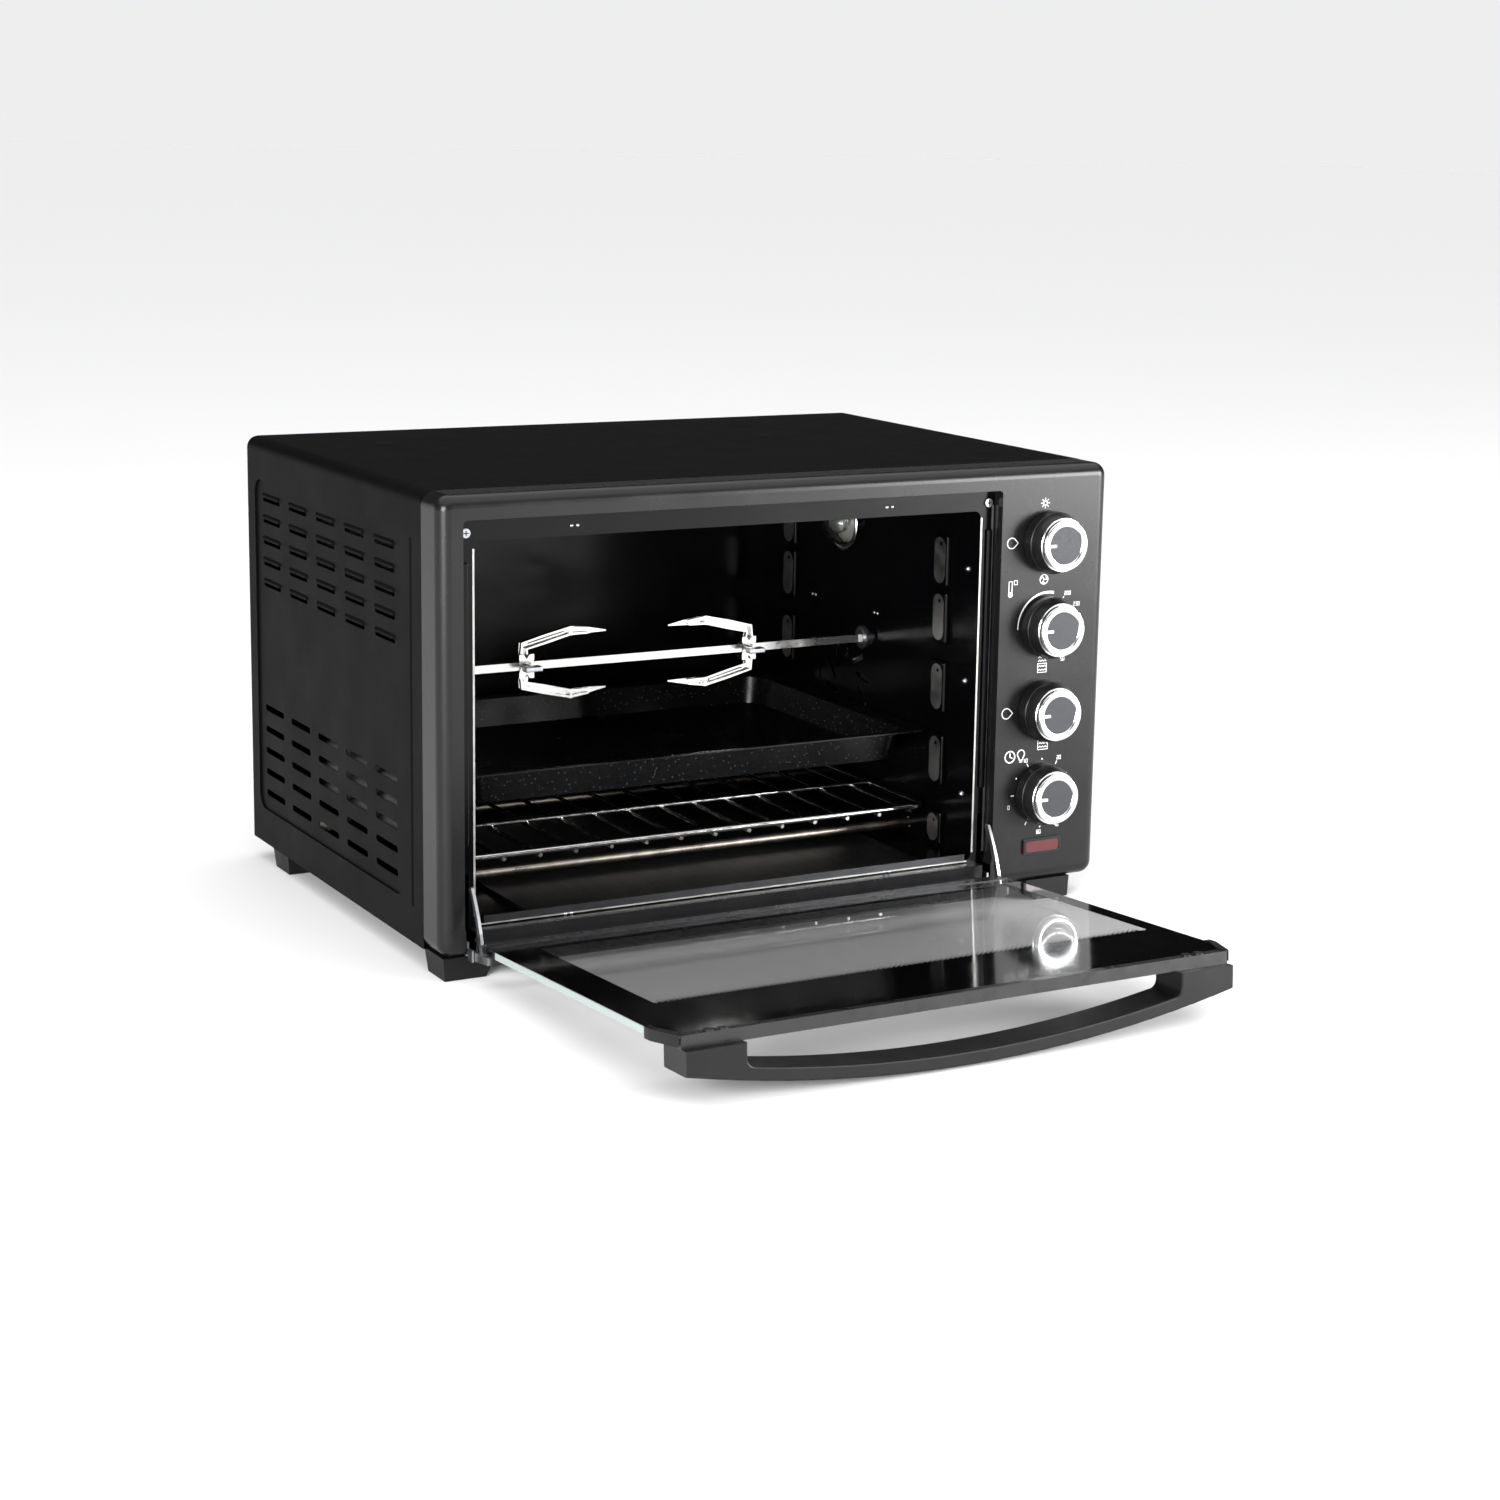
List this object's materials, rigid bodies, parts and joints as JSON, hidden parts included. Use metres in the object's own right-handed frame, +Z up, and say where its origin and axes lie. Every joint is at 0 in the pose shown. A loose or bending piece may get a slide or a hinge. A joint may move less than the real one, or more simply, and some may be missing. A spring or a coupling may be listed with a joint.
{
  "type": "rotisserie oven",
  "caption": "Table-top rotisserie oven in black steel: drop-down glass door with a bowed handle, rotary controls, spit with forks, wire rack, baking tray and crumb tray.",
  "frame": {"origin": "middle of the footprint of the whole oven with its door down, on the surface it stands on", "axes": "+X to the oven's right seen from the front, -Y out of its front, +Z up"},
  "size_m": [0.545, 0.7138, 0.337],
  "materials": {
    "black_painted_steel": "satin",
    "fascia_painted_steel": "satin",
    "black_enamel": "gloss",
    "plated_steel": "satin",
    "motor_steel": "satin",
    "heater_tube": "satin",
    "white_ceramic": "matte",
    "lamp_glass": "gloss",
    "bulb_glass": "gloss",
    "bright_plate": "polished",
    "zinc_screws": "satin",
    "hinge_steel": "satin",
    "tray_enamel": "gloss",
    "crumb_tray_steel": "satin",
    "door_glass": "gloss",
    "black_steel_trim": "satin",
    "black_plastic": "satin",
    "foot_plastic": "matte",
    "indicator_red": "gloss",
    "switch_body": "matte",
    "knob_plastic": "satin",
    "knob_chrome": "polished"
  },
  "bodies": {
    "oven": {"outer_shell": "black_painted_steel", "back_cover": "black_painted_steel", "bottom_plate": "black_painted_steel", "front_fascia": "fascia_painted_steel", "cavity_front_frame": "black_enamel", "cavity_left_wall": "black_enamel", "cavity_right_wall": "black_enamel", "cavity_back_wall": "black_enamel", "cavity_roof": "black_enamel", "cavity_floor": "black_enamel", "heat_shield": "plated_steel", "upper_heaters": "heater_tube", "lower_heaters": "heater_tube", "heater_insulators": "white_ceramic", "lamp_lens": "lamp_glass", "lamp_bulb": "bulb_glass", "lamp_holder": "white_ceramic", "fan_cover": "black_enamel", "fan_motor": "motor_steel", "spit_motor": "motor_steel", "spit_bearing": "plated_steel", "hinge_bracket_left": "plated_steel", "hinge_bracket_right": "plated_steel", "hinge_pins": "zinc_screws", "indicator_lens": "indicator_red", "foot_front_left": "foot_plastic", "foot_front_right": "foot_plastic", "foot_rear_left": "foot_plastic", "foot_rear_right": "foot_plastic", "case_screws": "zinc_screws", "mains_inlet": "foot_plastic", "function_unit": "switch_body", "thermostat_unit": "switch_body", "heater_unit": "switch_body", "timer_unit": "switch_body"},
    "door": {"door_glass": "door_glass", "door_bottom_rail": "black_steel_trim", "door_top_trim": "black_steel_trim", "door_handle": "black_plastic", "hinge_arm_left": "hinge_steel", "hinge_arm_right": "hinge_steel", "handle_screws": "zinc_screws"},
    "spit": {"spit_rod": "bright_plate", "spit_fork_left": "bright_plate", "spit_fork_right": "bright_plate", "fork_screws": "zinc_screws", "spit_socket": "plated_steel"},
    "fan": {"fan_wheel": "plated_steel"},
    "rack": {"wire_rack": "bright_plate"},
    "tray": {"baking_tray": "tray_enamel"},
    "crumbs": {"crumb_tray": "crumb_tray_steel"},
    "function_control": {"function_knob": "knob_plastic", "function_knob_ring": "knob_chrome"},
    "thermostat_control": {"thermostat_knob": "knob_plastic", "thermostat_knob_ring": "knob_chrome"},
    "heater_control": {"heater_knob": "knob_plastic", "heater_knob_ring": "knob_chrome"},
    "timer_control": {"timer_knob": "knob_plastic", "timer_knob_ring": "knob_chrome"}
  },
  "joints": [
    {"name": "door_hinge", "type": "hinge", "parent": "oven", "child": "door", "pos_m": [-0.039, -0.04741, 0.018], "axis": [1, 0, 0], "range_deg": [-86.5, 0]},
    {"name": "function_turn", "type": "hinge", "parent": "oven", "child": "function_control", "pos_m": [0.22, -0.04341, 0.2795], "axis": [0, 1, 0], "range_deg": [0, 270]},
    {"name": "thermostat_turn", "type": "hinge", "parent": "oven", "child": "thermostat_control", "pos_m": [0.22, -0.04341, 0.2148], "axis": [0, 1, 0], "range_deg": [0, 270]},
    {"name": "heater_turn", "type": "hinge", "parent": "oven", "child": "heater_control", "pos_m": [0.22, -0.04341, 0.1501], "axis": [0, 1, 0], "range_deg": [0, 270]},
    {"name": "timer_turn", "type": "hinge", "parent": "oven", "child": "timer_control", "pos_m": [0.22, -0.04341, 0.0854], "axis": [0, 1, 0], "range_deg": [0, 300]},
    {"name": "spit_turn", "type": "hinge", "parent": "oven", "child": "spit", "pos_m": [-0.039, 0.12859, 0.182], "axis": [1, 0, 0], "continuous": true},
    {"name": "fan_turn", "type": "hinge", "parent": "oven", "child": "fan", "pos_m": [0.176, 0.16259, 0.139], "axis": [1, 0, 0], "continuous": true},
    {"name": "rack_slide", "type": "slide", "parent": "oven", "child": "rack", "axis": [0, -1, 0], "range_m": [0, 0.2]},
    {"name": "tray_slide", "type": "slide", "parent": "oven", "child": "tray", "axis": [0, -1, 0], "range_m": [0, 0.2]},
    {"name": "crumb_slide", "type": "slide", "parent": "oven", "child": "crumbs", "axis": [0, -1, 0], "range_m": [0, 0.07]}
  ]
}
